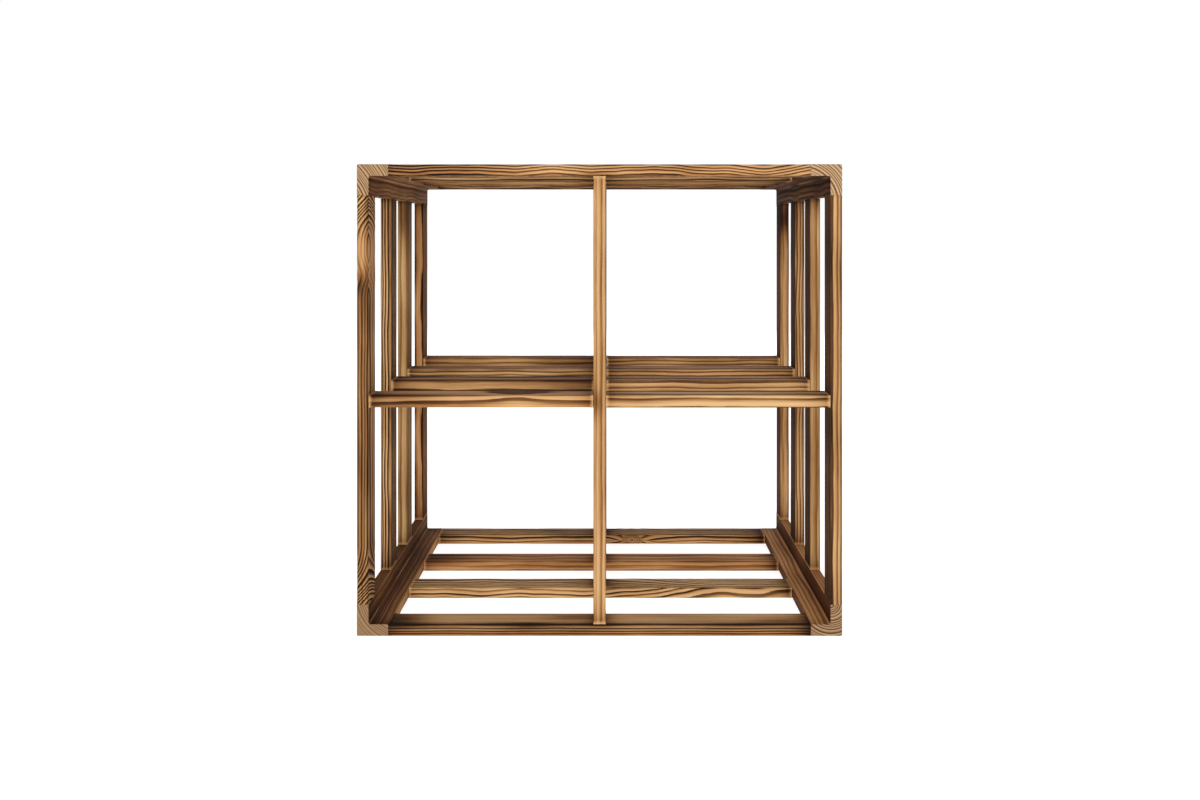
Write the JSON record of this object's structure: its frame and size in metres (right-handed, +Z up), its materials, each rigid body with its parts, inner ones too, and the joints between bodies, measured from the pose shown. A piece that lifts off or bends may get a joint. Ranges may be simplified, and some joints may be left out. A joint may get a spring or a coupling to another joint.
{
  "type": "wine rack",
  "caption": "Open cube wine rack of burnt and brushed pine slats on L-section corner rails, with a cross of dividers and shelves making square bays open at front and back.",
  "frame": {"origin": "middle of the footprint, on the floor", "axes": "+X to the right seen from the front, +Y from the front to the back, along the bottles, +Z up"},
  "size_m": [0.5, 0.33, 0.486],
  "materials": {
    "rail_pine": "burnt and wire-brushed, satin oil",
    "slat_pine": "burnt and wire-brushed, satin oil",
    "divider_pine": "lightly burnt and wire-brushed, satin oil",
    "shelf_pine": "lightly burnt and wire-brushed, satin oil",
    "dowel_beech": "bare"
  },
  "bodies": {
    "root": {"corner_rail_top_left": "rail_pine", "corner_rail_top_right": "rail_pine", "corner_rail_bottom_left": "rail_pine", "corner_rail_bottom_right": "rail_pine", "top_slat_1": "slat_pine", "top_slat_2": "slat_pine", "top_slat_3": "slat_pine", "top_slat_4": "slat_pine", "bottom_slat_1": "slat_pine", "bottom_slat_2": "slat_pine", "bottom_slat_3": "slat_pine", "bottom_slat_4": "slat_pine", "left_slat_1": "slat_pine", "left_slat_2": "slat_pine", "left_slat_3": "slat_pine", "left_slat_4": "slat_pine", "right_slat_1": "slat_pine", "right_slat_2": "slat_pine", "right_slat_3": "slat_pine", "right_slat_4": "slat_pine", "divider_slat_1": "divider_pine", "divider_slat_2": "divider_pine", "divider_slat_3": "divider_pine", "divider_slat_4": "divider_pine", "shelf_left_1": "shelf_pine", "shelf_left_2": "shelf_pine", "shelf_left_3": "shelf_pine", "shelf_left_4": "shelf_pine", "shelf_right_1": "shelf_pine", "shelf_right_2": "shelf_pine", "shelf_right_3": "shelf_pine", "shelf_right_4": "shelf_pine", "top_slat_dowels": "dowel_beech", "bottom_slat_dowels": "dowel_beech", "left_slat_dowels": "dowel_beech", "right_slat_dowels": "dowel_beech", "divider_dowels": "dowel_beech", "shelf_end_dowels": "dowel_beech", "shelf_cross_dowels": "dowel_beech"}
  },
  "joints": []
}
